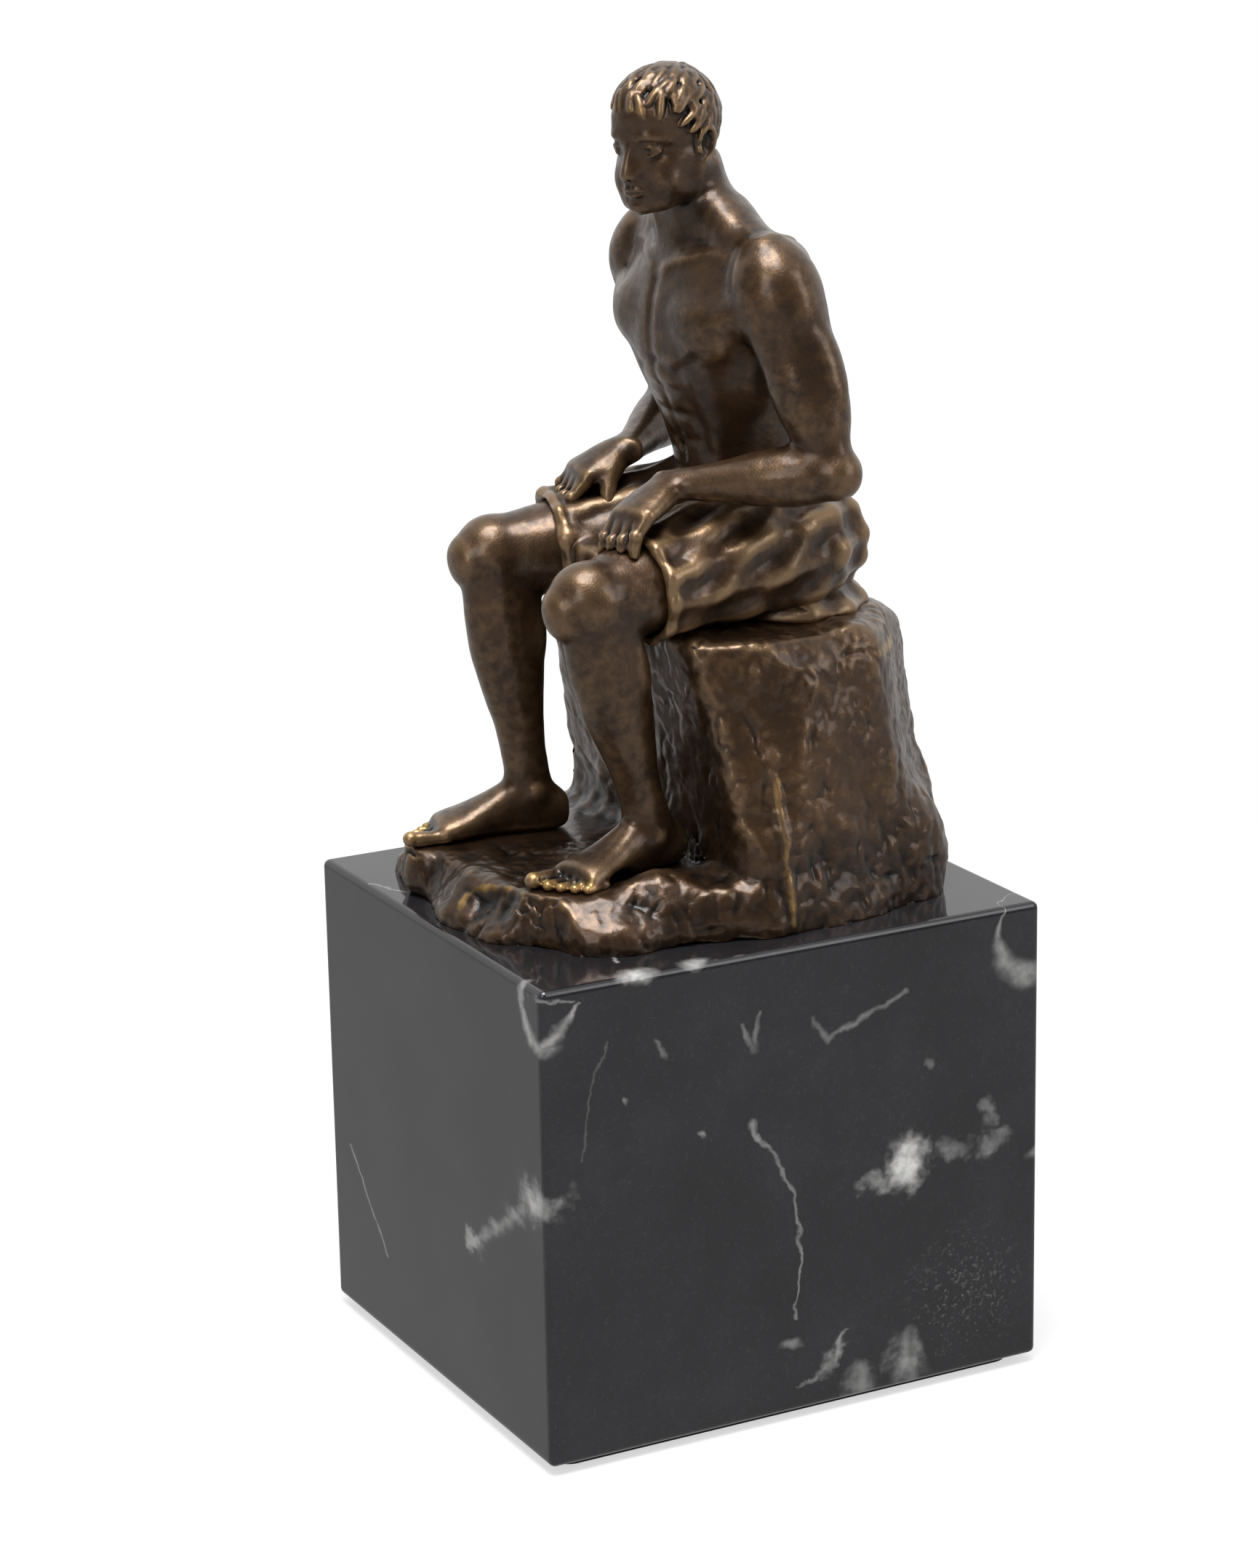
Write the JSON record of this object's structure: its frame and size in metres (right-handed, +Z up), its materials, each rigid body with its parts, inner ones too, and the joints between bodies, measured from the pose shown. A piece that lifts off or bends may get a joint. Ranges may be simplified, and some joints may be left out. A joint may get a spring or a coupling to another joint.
{
  "type": "seated figure statue",
  "caption": "Small bronze statue of a seated figure in a hip wrap, hands resting on its thighs, on a rough rock bolted to a polished black marble block.",
  "frame": {"origin": "middle of the felt's underside, where the block stands", "axes": "+Z up; the figure looks along -Y, so +X is its left side"},
  "size_m": [0.082, 0.09, 0.213],
  "materials": {
    "black_marble": "polished, with white veins",
    "bronze": "dark brown patina, waxed, worn golden on edges",
    "zinc_steel": "zinc plated",
    "felt": "pressed wool felt"
  },
  "bodies": {
    "root": {"marble_block": "black_marble", "felt_pad": "felt", "fixing_stud": "zinc_steel", "fixing_washer": "zinc_steel", "fixing_nut": "zinc_steel", "fixing_bar": "bronze", "rock_casting": "bronze", "lap_casting": "bronze", "torso_casting": "bronze", "head_casting": "bronze", "left_arm_casting": "bronze", "right_arm_casting": "bronze", "left_leg_casting": "bronze", "right_leg_casting": "bronze", "neck_dowel": "bronze", "waist_dowels": "bronze", "shoulder_dowels": "bronze", "thigh_dowels": "bronze", "seat_dowels": "bronze", "foot_dowels": "bronze"}
  },
  "joints": []
}
